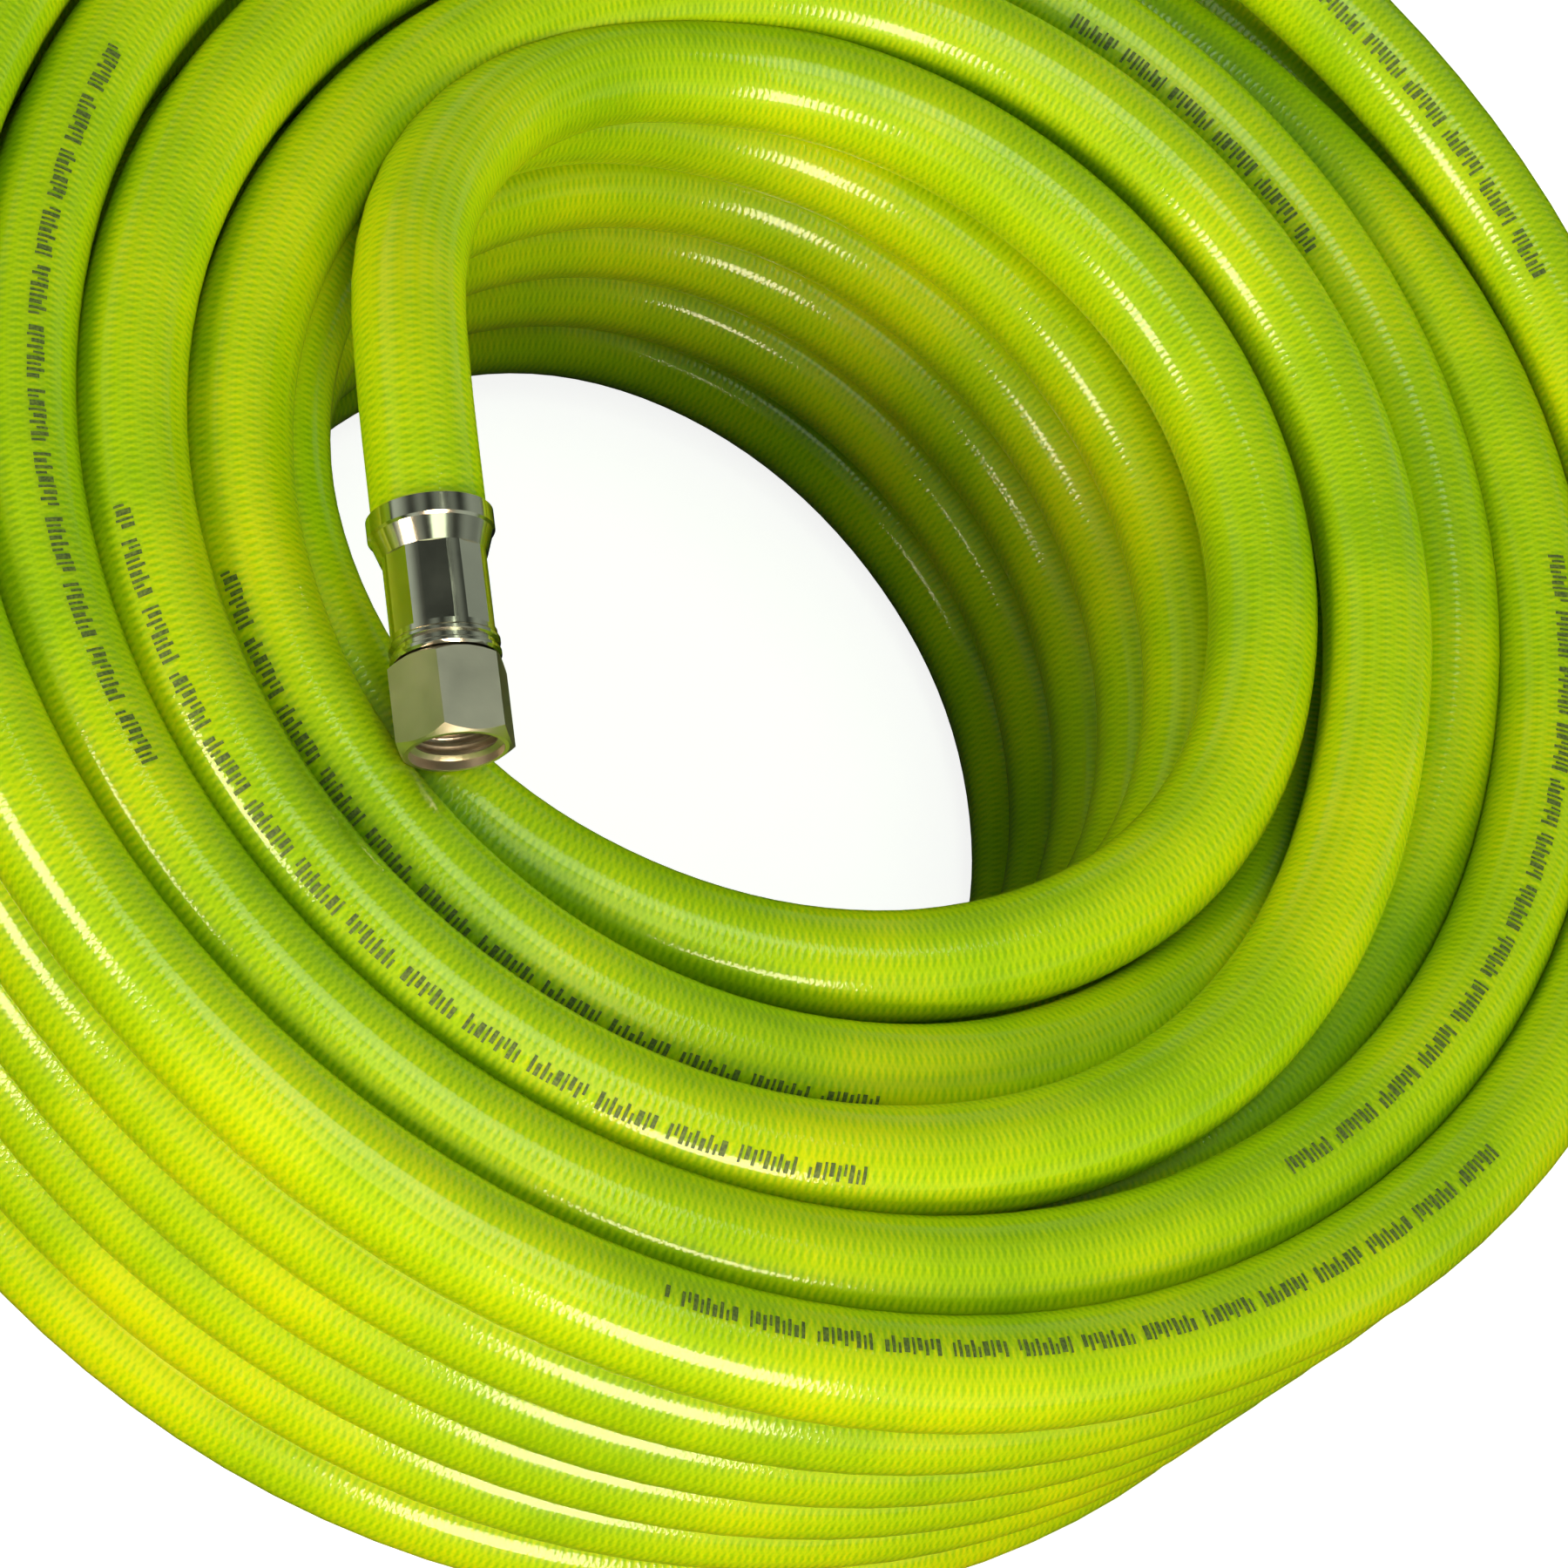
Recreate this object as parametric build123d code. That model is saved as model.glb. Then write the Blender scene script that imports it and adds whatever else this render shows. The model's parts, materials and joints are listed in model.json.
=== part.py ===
from build123d import *

import math
import os

# A coil of reinforced air hose that lies flat, with a crimped fitting at each end.
# Millimetres, +Z up. The origin is under the middle of the coil, on the surface it lies on.

# ---- driving dimensions -------------------------------------------------------------

HOSE_D = 16.0
HOSE_BORE = 10.0

# The coil: five rings of turns side by side, six layers deep.
COIL_RINGS = 5
COIL_LAYERS = 6
INNER_TURN_R = 71.0
INNER_TURN_CENTRE = (1.0, -3.5)
LAYER_LEAN = 0.48  # how far each layer below the top draws in, and back along +Y
COIL_TOP_Z = 97.0
COIL_RIM_R = 7.0
COIL_BRIM = 9.0  # the upright stretch of the outer wall, rounded rim included

# The crimped fitting. Lengths run along its axis, from where the hose enters the ferrule.
SKIRT_OD = 17.6
SKIRT_ID = 16.1
SKIRT_LENGTH = 5.4
SKIRT_TAPER = 2.0  # the end of the skirt in which the hose narrows
CRIMP_OD = 14.8
CRIMP_FLATS = 14.3
CRIMP_COUNT = 8
CRIMP_ID = 13.0
CRIMP_LEAD = 1.2  # from the skirt to the start of the flats
CRIMP_END = 0.8  # from the end of the flats to the end of the ferrule
FERRULE_LENGTH = 19.0
END_WALL = 1.0
EDGE = 0.35  # the small chamfers on the turned pieces
COLLAR_OD = 15.4
COLLAR_LENGTH = 2.9
COLLAR_BEAD = 0.8
COLLAR_GROOVE = 0.5
NUT_FLATS = 15.0
NUT_LENGTH = 12.75
NUT_MOUTH_R = 6.58  # major radius of a G 1/4 thread
NUT_MOUTH_LENGTH = 5.5
NUT_CAVITY_R = 6.2
NUT_LIP_LENGTH = 3.0
STEM_R = 4.5  # the hose tail inside the crimped hose
STEM_BORE_R = 3.0
BARB_R = 4.9
BARB_PITCH = 3.4
BARB_COUNT = 4
VALLEY_R = 4.3
STEM_TIP_R = 3.9
STEM_START = 0.5
STEM_LAND = 3.0  # the plain stretch after the last barb
SWIVEL_CLEARANCE = 0.05
END_PLAY = 0.25
NOSE_R = 5.6
NOSE_TIP_R = 3.9
NOSE_LENGTH = 3.8
NOSE_RIM = 1.5
FITTING_LENGTH = FERRULE_LENGTH + COLLAR_LENGTH + END_PLAY + NUT_LENGTH

# How far around each fitting the coil's solid stands clear, and how far ahead of its mouth,
# so that the fitting it joins has room to reach it.
FITTING_CLEARANCE = 1.0
MATE_ROOM = 90.0

# The routes of the two loose stretches, each ending where the hose enters its ferrule. The
# fitting carries on in line with the last run. The inner end crosses the coil's hole and its
# nut rests on the innermost turn. The outer end lies beside the coil, on the surface.
INNER_ROUTE = [
    (-49.5, 52.5, 88.0),
    (-63.5, 38.5, 88.0),
    (-70.8, 19.3, 90.2),
    (-70.6, -2.1, 94.4),
    (-64.3, -21.2, 99.4),
    (-52.5, -37.7, 102.9),
    (-38.4, -52.7, 101.9),
]
OUTER_ROUTE = [
    (-121.3, -51.7, 8.0),
    (-129.0, -29.0, 8.0),
    (-132.6, -4.7, 8.0),
    (-134.6, 19.5, 8.4),
    (-134.4, 44.0, 9.0),
    (-129.6, 68.0, 10.0),
    (-120.3, 89.5, 10.0),
]


# ---- helpers ------------------------------------------------------------------------


def turned(outline):
    """A closed outline of (radius, height) points, turned about Z."""
    face = make_face(Polyline([(r, 0, z) for r, z in outline], close=True))
    return revolve(face, Axis.Z)


def ring(inner_r, outer_r, low_z, high_z):
    return turned([(inner_r, low_z), (outer_r, low_z), (outer_r, high_z), (inner_r, high_z)])


def prism(sides, flats, low_z, length):
    outline = RegularPolygon(flats / 2, sides, major_radius=False)
    return Pos(0, 0, low_z) * extrude(outline, length)


def fitting_place(route):
    """Puts a fitting that is drawn along +Z where its hose ends, in line with the last run."""
    last_run = Vector(*route[-1]) - Vector(*route[-2])
    return Plane(origin=route[-1], z_dir=last_run).location


def corner_radii(route):
    """The largest tangent arc that each corner's two runs allow, with a little run left over."""
    radii = []
    for before, corner, after in zip(route, route[1:], route[2:]):
        run_in = Vector(*corner) - Vector(*before)
        run_out = Vector(*after) - Vector(*corner)
        half_turn = math.radians(run_in.get_angle(run_out)) / 2
        radii.append(0.45 * min(run_in.length, run_out.length) / math.tan(half_turn))
    return radii


# ---- the hose -----------------------------------------------------------------------


def hose_coil():
    """The outer shape of the wound turns, open in the middle."""
    outer_r = INNER_TURN_R + (COIL_RINGS - 1) * HOSE_D + HOSE_D / 2
    lean = LAYER_LEAN * (COIL_LAYERS - 1)
    shoulder_z = COIL_TOP_Z - COIL_BRIM
    foot = Pos(0, lean, 0) * Circle(outer_r - lean)
    brim = Pos(0, 0, shoulder_z) * Circle(outer_r)
    drum = loft([foot, brim]) + extrude(brim, COIL_TOP_Z - shoulder_z)
    centre_x, centre_y = INNER_TURN_CENTRE
    hole = Pos(centre_x, centre_y, 0) * Cylinder(INNER_TURN_R - HOSE_D / 2, 3 * COIL_TOP_Z)
    coil = drum - hole
    rims = [edge for edge in coil.edges() if edge.center().Z < 1 or edge.center().Z > COIL_TOP_Z - 1]
    coil = fillet(rims, COIL_RIM_R)
    for route in (INNER_ROUTE, OUTER_ROUTE):
        sleeve = Cylinder(
            NUT_FLATS / math.sqrt(3) + FITTING_CLEARANCE,
            FITTING_CLEARANCE + FITTING_LENGTH + MATE_ROOM,
            align=(Align.CENTER, Align.CENTER, Align.MIN),
        )
        coil -= fitting_place(route) * Pos(0, 0, -FITTING_CLEARANCE) * sleeve
    return coil


def hose_end(name, route):
    """A loose stretch of hose, and its last few millimetres, squeezed in the ferrule."""
    radii = corner_radii(route)
    path = FilletPolyline(*route, radius=radii)
    start = Plane(origin=path @ 0, z_dir=path % 0)
    section = start * (Circle(HOSE_D / 2) - Circle(HOSE_BORE / 2))
    tube = sweep(section, path=path)
    swept = section.area * path.length
    print(name, "end: corner radii", [round(r) for r in radii], "length", round(path.length))
    print(name, "end: volume over section times length", round(tube.volume / swept, 4))
    in_skirt = SKIRT_LENGTH - SKIRT_TAPER
    full = ring(HOSE_BORE / 2, HOSE_D / 2, 0, in_skirt)
    squeezed = turned(
        [
            (HOSE_BORE / 2, in_skirt),
            (HOSE_D / 2, in_skirt),
            (CRIMP_ID / 2, SKIRT_LENGTH),
            (CRIMP_ID / 2, FERRULE_LENGTH - END_WALL),
            (STEM_R, FERRULE_LENGTH - END_WALL),
            (STEM_R, SKIRT_LENGTH),
        ]
    )
    return tube + fitting_place(route) * (full + squeezed)


# ---- the fitting, drawn along +Z from where the hose enters it ----------------------


def ferrule():
    """A sleeve with a full-size skirt, then a length crimped down to flats."""
    flats_start = SKIRT_LENGTH + CRIMP_LEAD
    flats_length = FERRULE_LENGTH - CRIMP_END - flats_start
    skirt_edge = SKIRT_LENGTH - SKIRT_TAPER
    sleeve = turned(
        [
            (SKIRT_ID / 2, 0),
            (SKIRT_OD / 2 - EDGE, 0),
            (SKIRT_OD / 2, EDGE),
            (SKIRT_OD / 2, skirt_edge - EDGE),
            (SKIRT_OD / 2 - EDGE, skirt_edge),
            (CRIMP_OD / 2, flats_start),
            (CRIMP_OD / 2, FERRULE_LENGTH),
            (STEM_R, FERRULE_LENGTH),
            (STEM_R, FERRULE_LENGTH - END_WALL),
            (CRIMP_ID / 2, FERRULE_LENGTH - END_WALL),
            (CRIMP_ID / 2, SKIRT_LENGTH),
            (SKIRT_ID / 2, skirt_edge),
        ]
    )
    die = ring(CRIMP_ID / 2, CRIMP_OD, flats_start, flats_start + flats_length)
    die -= prism(CRIMP_COUNT, CRIMP_FLATS, flats_start, flats_length)
    return sleeve - die


def hose_tail():
    """A barbed stem, a flange inside the collar, a neck that the nut turns on, and a coned nose."""
    barbs_end = FERRULE_LENGTH - STEM_LAND
    outline = [(STEM_BORE_R, STEM_START), (STEM_TIP_R, STEM_START)]
    for index in range(BARB_COUNT):
        low = 2 * STEM_START + index * BARB_PITCH
        crest = low + 0.8 * BARB_PITCH
        outline += [(VALLEY_R, low), (BARB_R, crest), (VALLEY_R, crest + EDGE)]
    neck_end = FERRULE_LENGTH + COLLAR_LENGTH + NUT_LIP_LENGTH + 2 * END_PLAY
    outline += [
        (STEM_R, barbs_end),
        (STEM_R, neck_end),
        (NOSE_R, neck_end),
        (NOSE_R, neck_end + NOSE_RIM),
        (NOSE_TIP_R, neck_end + NOSE_LENGTH),
        (STEM_BORE_R, neck_end + NOSE_LENGTH),
    ]
    return turned(outline)


def collar_ring():
    """The thin double-edged ring between the ferrule and the nut."""
    low = FERRULE_LENGTH
    high = FERRULE_LENGTH + COLLAR_LENGTH
    waist = COLLAR_OD / 2 - COLLAR_GROOVE
    return turned(
        [
            (STEM_R, low),
            (COLLAR_OD / 2 - EDGE, low),
            (COLLAR_OD / 2, low + EDGE),
            (COLLAR_OD / 2, low + COLLAR_BEAD),
            (waist, low + COLLAR_BEAD + EDGE),
            (waist, high - COLLAR_BEAD - EDGE),
            (COLLAR_OD / 2, high - COLLAR_BEAD),
            (COLLAR_OD / 2, high - EDGE),
            (COLLAR_OD / 2 - EDGE, high),
            (STEM_R, high),
        ]
    )


def union_nut():
    """A hexagon with chamfered ends, a plain bore of the thread's major radius, and a lip behind."""
    low = FERRULE_LENGTH + COLLAR_LENGTH + END_PLAY
    high = low + NUT_LENGTH
    corner_r = NUT_FLATS / math.sqrt(3)
    drop = (corner_r - NUT_FLATS / 2) * 0.9
    barrel = turned(
        [
            (0, low),
            (NUT_FLATS / 2 - EDGE, low),
            (corner_r, low + drop),
            (corner_r, high - drop),
            (NUT_FLATS / 2 - EDGE, high),
            (0, high),
        ]
    )
    blank = prism(6, NUT_FLATS, low, NUT_LENGTH) & barrel
    lip_end = low + NUT_LIP_LENGTH
    mouth_start = high - NUT_MOUTH_LENGTH
    hollow = turned(
        [
            (0, low),
            (STEM_R + SWIVEL_CLEARANCE, low),
            (STEM_R + SWIVEL_CLEARANCE, lip_end),
            (NUT_CAVITY_R, lip_end),
            (NUT_CAVITY_R, mouth_start),
            (NUT_MOUTH_R, mouth_start),
            (NUT_MOUTH_R, high),
            (0, high),
        ]
    )
    return blank - hollow


# ---- everything, each piece where it lies -------------------------------------------

PIECES = {"hose_coil": hose_coil()}
for end, route in {"inner": INNER_ROUTE, "outer": OUTER_ROUTE}.items():
    PIECES["hose_" + end + "_end"] = hose_end(end, route)
    for make in (ferrule, hose_tail, collar_ring, union_nut):
        PIECES[end + "_" + make.__name__] = fitting_place(route) * make()

os.makedirs("parts", exist_ok=True)
for name, shape in PIECES.items():
    export_step(shape, "parts/" + name + ".step")
whole = Compound(children=list(PIECES.values())).bounding_box()
print("whole object from", whole.min, "to", whole.max)
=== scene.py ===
import json
import math

import bpy
import numpy as np
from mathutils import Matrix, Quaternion, Vector

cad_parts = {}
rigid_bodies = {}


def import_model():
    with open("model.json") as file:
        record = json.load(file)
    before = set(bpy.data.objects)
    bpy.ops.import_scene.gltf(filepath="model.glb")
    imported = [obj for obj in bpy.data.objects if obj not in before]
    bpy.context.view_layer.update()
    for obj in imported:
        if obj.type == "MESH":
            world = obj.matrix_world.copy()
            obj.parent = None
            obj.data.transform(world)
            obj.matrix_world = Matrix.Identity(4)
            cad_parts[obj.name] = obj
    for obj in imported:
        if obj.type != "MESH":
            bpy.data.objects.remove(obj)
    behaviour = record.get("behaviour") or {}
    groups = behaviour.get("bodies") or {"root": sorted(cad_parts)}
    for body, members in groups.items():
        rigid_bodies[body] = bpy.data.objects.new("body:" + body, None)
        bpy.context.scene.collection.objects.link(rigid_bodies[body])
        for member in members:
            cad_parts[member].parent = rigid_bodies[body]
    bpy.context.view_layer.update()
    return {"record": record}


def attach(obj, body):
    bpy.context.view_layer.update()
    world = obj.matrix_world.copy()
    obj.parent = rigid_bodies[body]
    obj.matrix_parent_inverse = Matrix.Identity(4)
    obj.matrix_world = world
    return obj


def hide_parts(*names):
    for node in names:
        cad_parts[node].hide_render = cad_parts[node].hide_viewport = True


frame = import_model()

# A coil of reinforced air hose, lying flat. Metres, in the frame of the CAD model: the coil's
# axis is Z, its underside is at zero. Heights and radii in the coil's own tables are in mm.

MM = 0.001
HOSE_D = 16.0

# The loose stretches, each from the coil to where the hose enters its ferrule.
INNER_ROUTE = [
    (-0.0495, 0.0525, 0.0880),
    (-0.0635, 0.0385, 0.0880),
    (-0.0708, 0.0193, 0.0902),
    (-0.0706, -0.0021, 0.0944),
    (-0.0643, -0.0212, 0.0994),
    (-0.0525, -0.0377, 0.1029),
    (-0.0384, -0.0527, 0.1019),
]
OUTER_ROUTE = [
    (-0.1213, -0.0517, 0.0080),
    (-0.1290, -0.0290, 0.0080),
    (-0.1326, -0.0047, 0.0080),
    (-0.1346, 0.0195, 0.0084),
    (-0.1344, 0.0440, 0.0090),
    (-0.1296, 0.0680, 0.0100),
    (-0.1203, 0.0895, 0.0100),
]
IN_FERRULE = 0.003  # how far the visible hose runs on inside its ferrule

# ---- camera -------------------------------------------------------------------------
# At the photo's viewing angle, aimed at the coil's top face and rolled.

CAMERA_AT = Vector((0.0030, -0.5375, 0.8161))
CAMERA_AIM = Vector((0.02275, -0.03947, 0.0880))
CAMERA_ROLL = math.radians(41.856)
CAMERA_LENS = 144.9


def make_camera():
    data = bpy.data.cameras.new("camera")
    data.lens = CAMERA_LENS
    data.clip_start = 0.05
    data.clip_end = 20
    camera = bpy.data.objects.new("camera", data)
    camera.location = CAMERA_AT
    camera.rotation_mode = "QUATERNION"
    level = (CAMERA_AIM - CAMERA_AT).to_track_quat("-Z", "Y")
    camera.rotation_quaternion = level @ Quaternion((0, 0, 1), CAMERA_ROLL)
    bpy.context.collection.objects.link(camera)
    bpy.context.scene.camera = camera


# ---- the coil's winding -------------------------------------------------------------
# A row is (azimuth, ring, height): azimuth in degrees within the turn, ring 1 to 5 counted
# outwards in hose diameters, height in mm. Each turn's azimuth starts 360 degrees lower, and
# the hose is followed from its inner end.

TURN = 360.0
PITCH = 16.0  # from one turn to the next one beside or above it
FLOOR_Z = 8.0
LAYERS = 6
INNER_R = 71.0  # of the inner ring's centreline
INNER_CENTRE = (1.0, -3.5)  # the inner ring lies a little off the coil's axis
OUTER_CENTRE = (0.0, -0.5)
LEAN = 2.4  # how much smaller the outer ring is at the floor than at the top
TOP_Z = 88.0
CONTROL_STEP = 10  # degrees between the coil's control points
SMOOTHING = 37  # degrees over which a change of ring or height is spread
NESTED_PITCH = 15.4  # between the inner ring's turns where the first one is pressed down
OUTER_SLACK = 0.5  # how much closer than one pitch the outer rings lie, summed over all of them


def inner_ring_top():
    """The first turn, free on top of the inner ring, pressed in a little on its near side."""
    return [
        (132, 1.25, 88.5),
        (115, 1.12, 91),
        (90, 1.0, 93),
        (60, 1.0, 93.5),
        (30, 1.03, 93),
        (0, 1.10, 91.5),
        (-27, 0.94, 89),
        (-46, 0.84, 87),
        (-71, 0.85, 85),
        (-83, 0.92, 84.5),
        (-95, 1.04, 84),
        (-118, 1.24, 83),
        (-145, 1.41, 82),
        (-180, 1.42, 81),
        (-210, 1.36, 77),
    ]


def inner_ring_down(layer):
    """A turn of the inner ring, one hose lower than the turn before it."""
    drop = PITCH * layer
    rows = [
        (130, 1.25, 88.5 - NESTED_PITCH * layer),
        (75, 1.02, max(88.3 - drop, FLOOR_Z)),
        (40, 0.97, max(88 - 1.02 * drop, FLOOR_Z)),
        (10, 1.08, max(87 - 1.02 * drop, FLOOR_Z)),
        (-30, 1.0, max(85 - drop, FLOOR_Z)),
    ]
    if layer < LAYERS - 1:
        return rows + [(-90, 1.0, 84 - drop)]
    return rows + [(-75, 1.6, FLOOR_Z), (-115, 2, FLOOR_Z)]


def second_ring_up(layer):
    rows = [(55, 2, FLOOR_Z + PITCH * layer)]
    if layer < 4:
        return rows + [(-45, 2, FLOOR_Z + PITCH * (layer + 1))]
    return [
        (55, 2, 72),
        (12, 2, 79),
        (-45, 2, 88),
        (-90, 2, 89),
        (-150, 1.86, 88.5),
        (-180, 1.82, 89),
        (-210, 1.93, 90.5),
    ]


def second_ring_to_third():
    """The turn on top that crosses outwards over the right-hand side."""
    return [
        (120, 2.05, 94),
        (90, 2.08, 95),
        (60, 2.08, 95.5),
        (45, 2.08, 95.7),
        (30, 2.1, 95.7),
        (15, 2.18, 95.3),
        (0, 2.42, 94.7),
        (-15, 2.68, 94),
        (-30, 2.86, 93),
        (-60, 3, 92.5),
        (-90, 3, 92.5),
        (-150, 2.9, 91),
        (-180, 2.85, 91),
        (-200, 2.95, 91),
    ]


def third_ring_dive():
    """The turn that goes down beside the crossing."""
    return [
        (120, 3.02, 91.5),
        (75, 3.1, 91),
        (45, 3.1, 89.5),
        (30, 3.08, 87),
        (15, 3.1, 85),
        (0, 3.2, 82.5),
        (-15, 3.3, 80.5),
        (-30, 3.22, 78),
        (-60, 3, 74),
    ]


def third_ring_down(layer):
    return [(45, 3, 72 - PITCH * layer), (-15, 3, 56 - PITCH * layer)]


def fourth_ring_up(layer):
    low = FLOOR_Z + PITCH * layer
    if layer < 4:
        return [(130, 4, low), (60, 4, low + PITCH)]
    return [
        (130, 4, low),
        (60, 4, 90),
        (0, 4, 92.5),
        (-90, 4, 92.5),
        (-150, 3.92, 91.5),
        (-180, 3.95, 91),
    ]


def outer_ring_top():
    return [
        (165, 4.05, 91.5),
        (105, 4.98, 93.5),
        (60, 5, 94),
        (0, 5, 94.5),
        (-90, 5, 94.5),
        (-180, 5, 93),
    ]


def outer_ring_down(layer):
    drop = PITCH * layer
    return [(165, 5, 92 - drop), (105, 5, max(76 - drop, FLOOR_Z + 1))]


def winding():
    """Every row of the coil, with its azimuth counted on from turn to turn."""
    turns = [inner_ring_top()]
    turns += [inner_ring_down(layer) for layer in range(1, LAYERS)]
    turns += [second_ring_up(layer) for layer in range(5)]
    turns += [second_ring_to_third(), third_ring_dive()]
    turns += [third_ring_down(layer) for layer in range(4)]
    turns += [[(130, 3, FLOOR_Z), (60, 4, FLOOR_Z)]]
    turns += [fourth_ring_up(layer) for layer in range(5)]
    turns += [outer_ring_top()]
    turns += [outer_ring_down(layer) for layer in range(5)]
    turns[-1] = turns[-1] + [(80, 5, FLOOR_Z), (-152, 5, FLOOR_Z)]
    rows = []
    for count, turn in enumerate(turns):
        rows += [(azimuth - TURN * count, ring, height) for azimuth, ring, height in turn]
    return rows


def smoothed(values):
    """Averaged over a window, with the ends carried on in line."""
    half = SMOOTHING // 2
    window = np.hanning(SMOOTHING + 2)[1:-1]
    before = 2 * values[0] - values[1 : half + 1][::-1]
    after = 2 * values[-1] - values[-half - 1 : -1][::-1]
    return np.convolve(np.concatenate([before, values, after]), window / window.sum(), "valid")


def coil_points():
    """The coil's control points, in metres."""
    azimuths, rings, heights = np.array(winding(), float).T
    azimuth = np.arange(azimuths[0], azimuths[-1], -1.0)
    ring = smoothed(np.interp(-azimuth, -azimuths, rings))
    height = np.maximum(smoothed(np.interp(-azimuth, -azimuths, heights)), FLOOR_Z)
    outward = np.clip((ring - 1) / 4, 0, 1)
    lean = LEAN * outward * np.clip((TOP_Z - height) / (TOP_Z - FLOOR_Z), 0, 1)
    radius = INNER_R + PITCH * (ring - 1) - OUTER_SLACK * outward - lean
    centre_x = INNER_CENTRE[0] * (1 - outward) + OUTER_CENTRE[0] * outward
    centre_y = INNER_CENTRE[1] * (1 - outward) + OUTER_CENTRE[1] * outward + lean
    x = centre_x + radius * np.cos(np.radians(azimuth))
    y = centre_y + radius * np.sin(np.radians(azimuth))
    return (MM * np.stack([x, y, height], axis=1))[::CONTROL_STEP]


def carried_on(route):
    """The point a little past the end of a route, in line with its last run."""
    last, before = Vector(route[-1]), Vector(route[-2])
    return tuple(last + (last - before).normalized() * IN_FERRULE)


def hose_line():
    """The hose's centreline: the points of one NURBS spline from fitting to fitting."""
    controls = [carried_on(INNER_ROUTE)] + INNER_ROUTE[::-1]
    controls += [tuple(point) for point in coil_points()[1:]]
    controls += OUTER_ROUTE + [carried_on(OUTER_ROUTE)]
    curve = bpy.data.curves.new("hose_line", "CURVE")
    curve.dimensions = "3D"
    curve.resolution_u = 3
    spline = curve.splines.new("NURBS")
    spline.points.add(len(controls) - 1)
    for point, control in zip(spline.points, controls):
        point.co = (*control, 1)
    spline.order_u = 3
    spline.use_endpoint_u = True
    line = bpy.data.objects.new("hose_line", curve)
    bpy.context.collection.objects.link(line)
    bpy.context.view_layer.update()
    mesh = bpy.data.meshes.new_from_object(line)
    points = np.array([vertex.co[:] for vertex in mesh.vertices])
    bpy.data.objects.remove(line)
    bpy.data.curves.remove(curve)
    bpy.data.meshes.remove(mesh)
    return points


class HoseLine:
    """The centreline with its length so far, and two directions across it at each point."""

    def __init__(self, points):
        self.points = points
        steps = np.linalg.norm(np.diff(points, axis=0), axis=1)
        self.along = np.concatenate([[0], np.cumsum(steps)])
        tangent = np.gradient(points, axis=0)
        tangent /= np.linalg.norm(tangent, axis=1, keepdims=True)
        side = np.cross(tangent, (0, 0, 1))
        self.side = side / np.linalg.norm(side, axis=1, keepdims=True)
        self.up = np.cross(self.side, tangent)
        from_centre = points[:, :2] - np.array(INNER_CENTRE) * MM
        angles = np.arctan2(from_centre[:, 1], from_centre[:, 0])
        self.azimuth = np.degrees(np.unwrap(angles))

    def surface(self, at, angle, radius):
        """Points at given lengths along the hose and angles round it.

        An angle starts on the side that faces the coil's axis and goes up from there.
        """
        place = []
        for line in (self.points, self.side, self.up):
            columns = [np.interp(at, self.along, line[:, axis]) for axis in range(3)]
            place.append(np.stack(columns, axis=-1))
        centre, side, up = place
        turn = np.cos(angle)[..., None] * side + np.sin(angle)[..., None] * up
        return centre + radius * turn


# ---- meshes -------------------------------------------------------------------------


def mesh_object(name, points, faces, material, smooth=True):
    mesh = bpy.data.meshes.new(name)
    mesh.from_pydata([tuple(point) for point in points], [], faces)
    mesh.validate()
    mesh.polygons.foreach_set("use_smooth", [smooth] * len(mesh.polygons))
    mesh.materials.append(material)
    piece = bpy.data.objects.new(name, mesh)
    bpy.context.collection.objects.link(piece)
    return piece


def grid_faces(rows, columns, closed=True):
    """Quads over a grid of points, whose columns may close into a ring."""
    faces = []
    for row in range(rows - 1):
        for column in range(columns if closed else columns - 1):
            beside = (column + 1) % columns
            start, above = row * columns, (row + 1) * columns
            faces.append((start + column, start + beside, above + beside, above + column))
    return faces


SIDES = 24  # of the hose's tube


def make_hose(line, material):
    """The whole hose as one closed tube. Its UV map runs along it in metres and once round it."""
    count = len(line.points)
    angle = np.arange(SIDES) / SIDES * 2 * math.pi
    at = np.repeat(line.along, SIDES)
    points = line.surface(at, np.tile(angle, count), HOSE_D / 2 * MM)
    faces = grid_faces(count, SIDES)
    faces.append(tuple(range(SIDES))[::-1])
    faces.append(tuple(range((count - 1) * SIDES, count * SIDES)))
    hose = mesh_object("air_hose", points, faces, material)
    layer = hose.data.uv_layers.new(name="along")
    values = []
    for face in hose.data.polygons:
        wraps = any(vertex % SIDES == 0 for vertex in face.vertices) and any(
            vertex % SIDES == SIDES - 1 for vertex in face.vertices
        )
        for vertex in face.vertices:
            column = vertex % SIDES
            if wraps and column == 0:
                column = SIDES
            values += [line.along[vertex // SIDES], column / SIDES]
    layer.data.foreach_set("uv", values)
    return hose


# ---- print on the hose --------------------------------------------------------------
# Rows of plain upright bars stand for the line of print. A run is (turn of the table above,
# first and last azimuth, angle round the hose from the side facing the coil's axis, over the
# top).

PRINT_RUNS = [
    (10, -50, -128, 138),
    (11, -53, -133, 126),
    (12, 100, 71, 50),
    (22, 41, -20, 84),
    (22, -113, -170, 88),
    (23, 90, 62, 58),
    (23, -7, -67, 84),
]
PRINT_HEIGHT = 2.5
PRINT_POINTS = 4  # across a bar, to follow the hose's roundness
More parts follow.
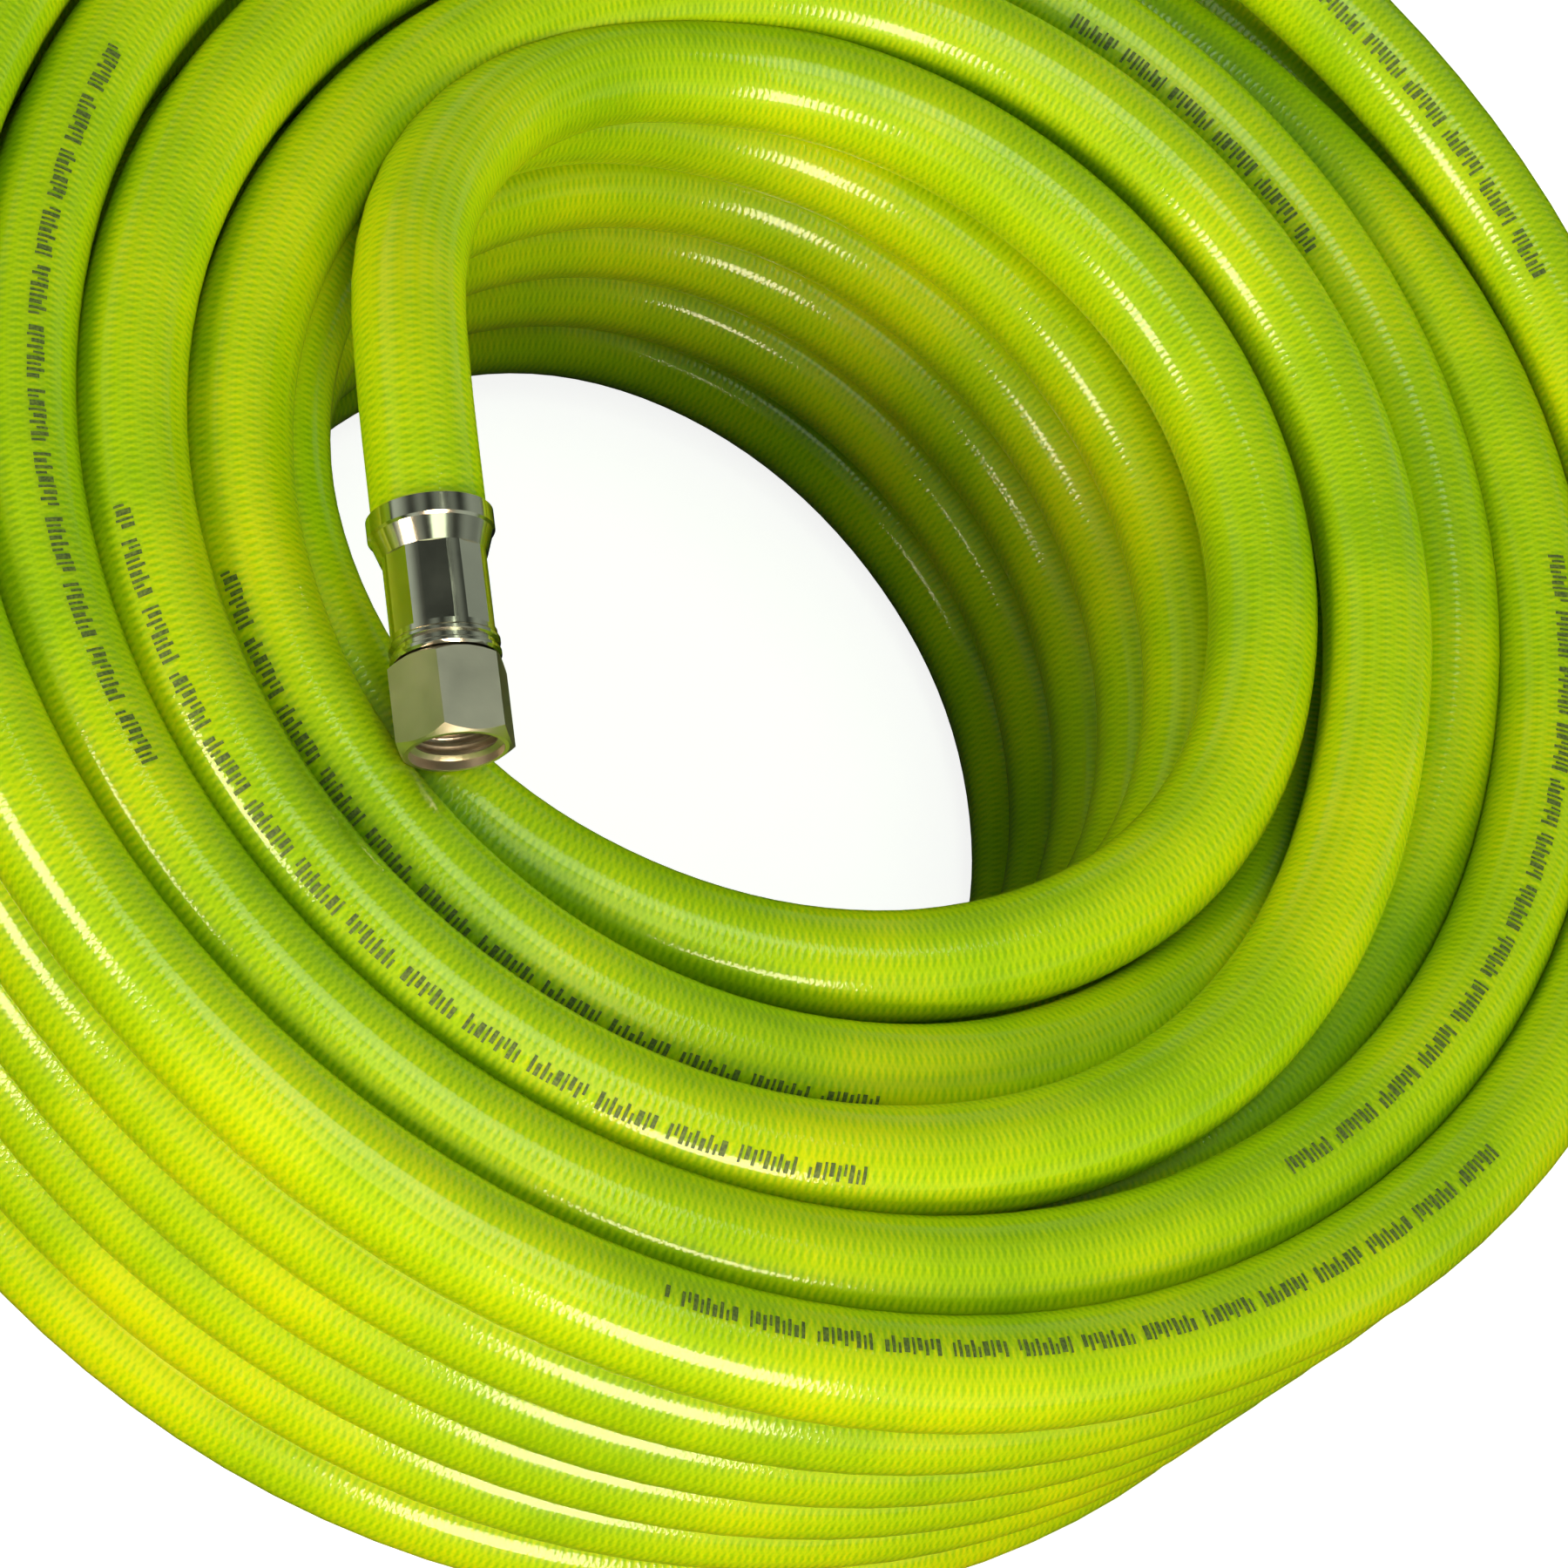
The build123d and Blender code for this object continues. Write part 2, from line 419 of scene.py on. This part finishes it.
# Bars of the print: length along the hose, then height and place across it as shares of
# the print's height.
PRINT_STROKES = [
    (0.45, 1.0, 0.0),
    (0.35, 0.8, 0.1),
    (0.6, 1.0, 0.0),
    (0.35, 0.65, -0.17),
    (0.45, 0.9, 0.05),
    (0.6, 0.75, -0.12),
    (0.35, 1.0, 0.0),
    (0.8, 0.85, 0.0),
    (0.35, 0.6, 0.2),
    (0.45, 1.0, 0.0),
    (0.6, 0.7, 0.15),
]
PRINT_GAP = 0.45
PRINT_WORD_GAP = 4 * PRINT_GAP
PRINT_PROUD = 0.04
PRINT_SUNK = 0.05
PRINT_WORD = 9  # bars between two wider gaps
PRINT_TURNS_BEFORE = 1  # the loose inner end takes up one turn of azimuth before the table


def mark(line, start, length, angle, height):
    """A closed, slightly raised patch of print that follows the hose's curve."""
    half = height / HOSE_D
    across = np.linspace(angle - half, angle + half, PRINT_POINTS)
    top = [(bend, HOSE_D / 2 + PRINT_PROUD) for bend in across]
    back = [(bend, HOSE_D / 2 - PRINT_SUNK) for bend in across[::-1]]
    angles, radii = np.array(top + back).T
    rings = []
    for at in (start, start + length):
        rings.append(line.surface(np.full(len(angles), at * MM), angles, MM * radii[:, None]))
    faces = grid_faces(2, len(angles))
    faces += [tuple(range(len(angles)))[::-1], tuple(range(len(angles), 2 * len(angles)))]
    return np.concatenate(rings), faces


def make_print(line, material):
    points, faces = [], []
    for turn, first, last, angle in PRINT_RUNS:
        wanted = np.array([first, last]) - TURN * (turn + PRINT_TURNS_BEFORE)
        start, end = np.interp(-wanted, -line.azimuth, line.along) / MM
        count = 0
        while start < end:
            length, height, place = PRINT_STROKES[count % len(PRINT_STROKES)]
            middle = math.radians(angle) + place * PRINT_HEIGHT / (HOSE_D / 2)
            patch, patch_faces = mark(line, start, length, middle, PRINT_HEIGHT * height)
            faces += [tuple(index + len(points) for index in face) for face in patch_faces]
            points += list(patch)
            count += 1
            start += length + (PRINT_WORD_GAP if count % PRINT_WORD == 0 else PRINT_GAP)
    return mesh_object("print_marks", points, faces, material, smooth=False)


# ---- threads in the union nuts ------------------------------------------------------

THREAD_PITCH = 1.337
THREAD_CREST_R = 5.75
THREAD_CREST = 0.1  # half of the crest's width
THREAD_FOOT = 0.6  # half of the foot's width
THREAD_SUNK = 0.06  # how far the foot stands inside the nut's wall
THREAD_END_ROOM = 0.7
THREAD_RUN_OUT = 1 / 3  # turns over which each end fades out
THREAD_END_SHARE = 0.05  # of the ridge's height, left at its very ends
THREAD_STEPS = 40  # points a turn


def make_thread(name, mount, material):
    """The thread's ridge, a helix that stands in from the nut's bore."""
    axis = Vector(mount["axis"])
    root_r = mount["dims"]["r_mm"] + THREAD_SUNK
    length = mount["dims"]["length_mm"] - 2 * THREAD_END_ROOM
    side = axis.orthogonal().normalized()
    other = axis.cross(side)
    profile = [
        (root_r, -THREAD_FOOT),
        (THREAD_CREST_R, -THREAD_CREST),
        (THREAD_CREST_R, THREAD_CREST),
        (root_r, THREAD_FOOT),
    ]
    count = int(length / THREAD_PITCH * THREAD_STEPS)
    points = []
    for step in range(count + 1):
        angle = 2 * math.pi * step / THREAD_STEPS
        outward = side * math.cos(angle) + other * math.sin(angle)
        height = THREAD_PITCH * step / THREAD_STEPS - length / 2
        turns_left = min(step, count - step) / THREAD_STEPS
        fade = min(1, max(turns_left / THREAD_RUN_OUT, THREAD_END_SHARE))
        for radius, rise in profile:
            reach = root_r + (radius - root_r) * fade
            points.append(Vector(mount["pos_m"]) + (outward * reach + axis * (height + rise)) * MM)
    width = len(profile)
    faces = grid_faces(count + 1, width)
    faces += [tuple(range(width))[::-1], tuple(range(width * count, width * (count + 1)))]
    return mesh_object(name, points, faces, material, smooth=False)


# ---- materials ----------------------------------------------------------------------


class Nodes:
    """A material's node tree, with short ways to add what these materials use."""

    def __init__(self, name):
        self.material = bpy.data.materials.new(name)
        self.material.use_nodes = True
        self.tree = self.material.node_tree
        self.shader = self.tree.nodes["Principled BSDF"]

    def link(self, source, target):
        """A socket is linked to the target, and a plain value is set on it."""
        if isinstance(source, bpy.types.NodeSocket):
            self.tree.links.new(source, target)
        elif source is not None:
            target.default_value = source

    def math(self, operation, first, second=None):
        node = self.tree.nodes.new("ShaderNodeMath")
        node.operation = operation
        self.link(first, node.inputs[0])
        self.link(second, node.inputs[1])
        return node.outputs[0]

    def set(self, **values):
        """Values or sockets for the shader's inputs, each by its name in lower case."""
        for name, value in values.items():
            title = name.replace("_", " ").title().replace("Ior", "IOR")
            self.link(value, self.shader.inputs[title])

    def noise(self, scale, detail):
        """Noise in the object's own coordinates, with about scale lumps to the metre."""
        place = self.tree.nodes.new("ShaderNodeTexCoord")
        node = self.tree.nodes.new("ShaderNodeTexNoise")
        node.inputs["Scale"].default_value = scale
        node.inputs["Detail"].default_value = detail
        self.link(place.outputs["Object"], node.inputs["Vector"])
        return node.outputs["Fac"]

    def ramp(self, factor, *stops):
        """A colour ramp of (place, colour) stops."""
        node = self.tree.nodes.new("ShaderNodeValToRGB")
        elements = node.color_ramp.elements
        while len(elements) < len(stops):
            elements.new(0.5)
        for element, (place, colour) in zip(elements, stops):
            element.position = place
            element.color = (*colour, 1)
        self.link(factor, node.inputs["Fac"])
        return node.outputs["Color"]

    def spread(self, factor, low, high):
        """A factor of 0 to 1 spread over another range."""
        node = self.tree.nodes.new("ShaderNodeMapRange")
        node.inputs["To Min"].default_value = low
        node.inputs["To Max"].default_value = high
        self.link(factor, node.inputs["Value"])
        return node.outputs["Result"]

    def bump(self, height, depth, strength):
        node = self.tree.nodes.new("ShaderNodeBump")
        node.inputs["Distance"].default_value = depth
        node.inputs["Strength"].default_value = strength
        self.link(height, node.inputs["Height"])
        return node.outputs["Normal"]


YARN_PITCH = 1.15
YARN_STARTS = 10  # how many of the broad yarns of each hand a cross-section meets
FINE_PITCH = 0.8
FINE_STARTS = 40
BROAD_SHARE = 0.22  # how much the broad yarns raise the relief, then the fine ones
FINE_SHARE = 0.2
YARN_SHADE = 0.3  # how strongly the relief shows in the colour
YARN_DEPTH = 0.00012
COAT_DEPTH = 0.0001
# The hose's colour by its shade, from the gaps between the yarns to the yarns' tops.
LIME = [
    (0.25, (0.22, 0.42, 0.001)),
    (0.55, (0.34, 0.54, 0.001)),
    (0.85, (0.535, 0.625, 0.001)),
]
LIME_SCATTER = (0.7, 1.3, 0.1)  # how far red, green and blue spread inside the PVC


def crossed_waves(nodes, along, around, pitch, starts):
    """Two sets of helical waves, one of each hand."""
    turns = nodes.math("MULTIPLY", around, starts)
    lengths = nodes.math("MULTIPLY", along, 1 / (pitch * MM))
    waves = []
    for operation in ("ADD", "SUBTRACT"):
        phase = nodes.math("MULTIPLY", nodes.math(operation, lengths, turns), 2 * math.pi)
        waves.append(nodes.math("SINE", phase))
    return waves


def hose_material():
    """Lime PVC, glossy and a little translucent, over two layers of crossed yarns."""
    nodes = Nodes("lime_pvc")
    uv = nodes.tree.nodes.new("ShaderNodeUVMap")
    uv.uv_map = "along"
    split = nodes.tree.nodes.new("ShaderNodeSeparateXYZ")
    nodes.link(uv.outputs["UV"], split.inputs[0])
    along, around = split.outputs["X"], split.outputs["Y"]
    unevenness = nodes.spread(nodes.noise(200, 2), -0.5 * YARN_PITCH * MM, 0.5 * YARN_PITCH * MM)
    uneven_along = nodes.math("ADD", along, unevenness)
    broad = crossed_waves(nodes, uneven_along, around, YARN_PITCH, YARN_STARTS)
    fine = crossed_waves(nodes, along, around, FINE_PITCH, FINE_STARTS)
    ribs = nodes.math("ADD", nodes.math("MAXIMUM", *broad), nodes.math("ADD", *broad))
    weave = nodes.math("MAXIMUM", *fine)
    broad_relief = nodes.math("MULTIPLY", ribs, BROAD_SHARE)
    relief = nodes.math("ADD", broad_relief, nodes.math("MULTIPLY", weave, FINE_SHARE))
    cloud = nodes.math("ADD", nodes.noise(24, 2), nodes.spread(nodes.noise(150, 2), -0.12, 0.12))
    shade = nodes.math("ADD", nodes.math("MULTIPLY", relief, YARN_SHADE), cloud)
    nodes.set(
        base_color=nodes.ramp(shade, *LIME),
        roughness=0.42,
        specular_ior_level=0.12,
        normal=nodes.bump(relief, YARN_DEPTH, 0.2),
        subsurface_weight=0.5,
        subsurface_scale=0.004,
        coat_weight=0.6,
        coat_roughness=0.09,
        coat_normal=nodes.bump(relief, COAT_DEPTH, 0.17),
    )
    nodes.shader.inputs["Subsurface Radius"].default_value = LIME_SCATTER
    return nodes.material


def print_material():
    """Thin dark ink, which the lime shows through in places."""
    nodes = Nodes("print_ink")
    patchy = nodes.noise(2400, 3)
    nodes.set(
        base_color=nodes.ramp(patchy, (0.35, (0.035, 0.065, 0.012)), (0.7, (0.12, 0.19, 0.015))),
        roughness=nodes.spread(patchy, 0.45, 0.7),
    )
    return nodes.material


METAL_DEPTH = 0.00002
DULL_SHARE = 0.9  # of the clean plate's colour


def metal_material(name, colour, roughness, grain):
    """Nickel plate with a grain, a little haze and small dull spots."""
    nodes = Nodes(name)
    haze = nodes.noise(140, 4)
    dull = [component * DULL_SHARE for component in colour]
    nodes.set(
        base_color=nodes.ramp(haze, (0.3, dull), (0.6, colour)),
        metallic=1.0,
        roughness=nodes.spread(haze, roughness - 0.06, roughness + 0.1),
        normal=nodes.bump(nodes.noise(grain, 4), METAL_DEPTH, 0.35),
    )
    return nodes.material


# ---- surroundings -------------------------------------------------------------------


FLOOR_REACH = 6.0
FLOOR_GLOW = 0.86


def make_floor():
    """A pale floor whose soft glow reaches only the camera."""
    reach = FLOOR_REACH
    corners = [(-reach, -reach, 0), (reach, -reach, 0), (reach, reach, 0), (-reach, reach, 0)]
    nodes = Nodes("pale_floor")
    grain = nodes.noise(90, 4)
    nodes.set(
        base_color=nodes.ramp(grain, (0.3, (0.44, 0.44, 0.44)), (0.7, (0.46, 0.46, 0.46))),
        roughness=0.7,
        emission_color=(1, 1, 1, 1),
        emission_strength=FLOOR_GLOW,
    )
    floor = mesh_object("floor", corners, [(0, 1, 2, 3)], nodes.material)
    floor.visible_diffuse = False
    floor.visible_glossy = False


LIGHT_TARGET = Vector((0, 0, 0.06))


def soft_box(name, azimuth, elevation, distance, size, radiance, tint=(1, 1, 1)):
    """A square light of the given radiance, aimed at the coil."""
    data = bpy.data.lights.new(name, "AREA")
    data.shape = "SQUARE"
    data.size = size
    data.energy = radiance * math.pi * size * size
    data.color = tint
    turn, rise = math.radians(azimuth), math.radians(elevation)
    way = Vector((math.cos(turn) * math.cos(rise), math.sin(turn) * math.cos(rise), math.sin(rise)))
    light = bpy.data.objects.new(name, data)
    light.location = LIGHT_TARGET + way * distance
    light.rotation_mode = "QUATERNION"
    light.rotation_quaternion = (-way).to_track_quat("-Z", "Y")
    light.visible_camera = False
    bpy.context.collection.objects.link(light)
    return light


# The studio's own light by height of direction, from straight down (0) to straight up (1).
SKY = [(0.49, 0.01), (0.53, 0.36), (0.65, 0.27), (0.95, 0.11)]
SKY_TINT = (0.84, 1.0, 0.86)
WALL_DIMMEST = 0.15
WALL_BRIGHTEST = 1.75


def make_world():
    """A dim studio: dark below the horizon, lightest just above it, with softly varied walls."""
    world = bpy.data.worlds.new("studio")
    world.use_nodes = True
    tree = world.node_tree
    place = tree.nodes.new("ShaderNodeTexCoord")
    split = tree.nodes.new("ShaderNodeSeparateXYZ")
    height = tree.nodes.new("ShaderNodeMapRange")
    height.inputs["From Min"].default_value = -1
    ramp = tree.nodes.new("ShaderNodeValToRGB")
    tree.links.new(place.outputs["Generated"], split.inputs[0])
    tree.links.new(split.outputs["Z"], height.inputs["Value"])
    tree.links.new(height.outputs["Result"], ramp.inputs["Fac"])
    tree.links.new(ramp.outputs["Color"], tree.nodes["Background"].inputs["Color"])
    elements = ramp.color_ramp.elements
    while len(elements) < len(SKY):
        elements.new(0.5)
    for element, (place_on_ramp, grey) in zip(elements, SKY):
        element.position = place_on_ramp
        element.color = (*(grey * share for share in SKY_TINT), 1)
    panels = tree.nodes.new("ShaderNodeTexWave")
    panels.inputs["Scale"].default_value = 1.0
    panels.inputs["Phase Offset"].default_value = math.pi
    tree.links.new(place.outputs["Generated"], panels.inputs["Vector"])
    strength = tree.nodes.new("ShaderNodeMapRange")
    strength.inputs["To Min"].default_value = WALL_DIMMEST
    strength.inputs["To Max"].default_value = WALL_BRIGHTEST
    tree.links.new(panels.outputs["Fac"], strength.inputs["Value"])
    tree.links.new(strength.outputs["Result"], tree.nodes["Background"].inputs["Strength"])
    bpy.context.scene.world = world


WARM = (1.0, 0.81, 0.58)
GREENISH = (0.78, 0.93, 0.68)
PALE_GREENISH = (0.8, 0.95, 0.75)


def make_lights():
    """Two warm side lights that draw the streaks, two soft ones from above and one from behind."""
    bpy.context.scene.view_settings.view_transform = "Standard"
    soft_box("left_box", 239, 22, 1.6, 0.5, 23, WARM)
    soft_box("right_box", 311, 22, 1.6, 0.6, 23, WARM)
    soft_box("front_top", 290, 66, 2.0, 0.9, 2.1, GREENISH)
    soft_box("overhead", 90, 86, 2.0, 0.8, 4.0, PALE_GREENISH)
    back_fill = soft_box("back_fill", 80, 14, 1.6, 0.5, 12)
    back_fill.visible_glossy = False
    make_world()


# ---- everything ---------------------------------------------------------------------

make_camera()

line = HoseLine(hose_line())
hose = make_hose(line, hose_material())
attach(hose, "hose")
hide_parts("hose_coil", "hose_inner_end", "hose_outer_end")

marks = make_print(line, print_material())
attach(marks, "hose")

METALS = {
    "nickel_sleeve": metal_material("nickel_sleeve", (0.71, 0.66, 0.55), 0.14, 300),
    "nickel_nut": metal_material("nickel_nut", (0.62, 0.56, 0.47), 0.31, 2600),
    "nickel_tail": metal_material("nickel_tail", (0.46, 0.42, 0.33), 0.3, 500),
}
for subpart in frame["record"]["subparts"]:
    if subpart["material_slot"] in METALS:
        slots = bpy.data.objects[subpart["node"]].material_slots
        slots[0].material = METALS[subpart["material_slot"]]

mounts = {mount["name"]: mount for mount in frame["record"]["mounts"]}
for end in ("inner", "outer"):
    thread = make_thread(end + "_thread_ridge", mounts[end + "_thread"], METALS["nickel_nut"])
    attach(thread, end + "_nut")

make_floor()
make_lights()

bpy.context.view_layer.update()
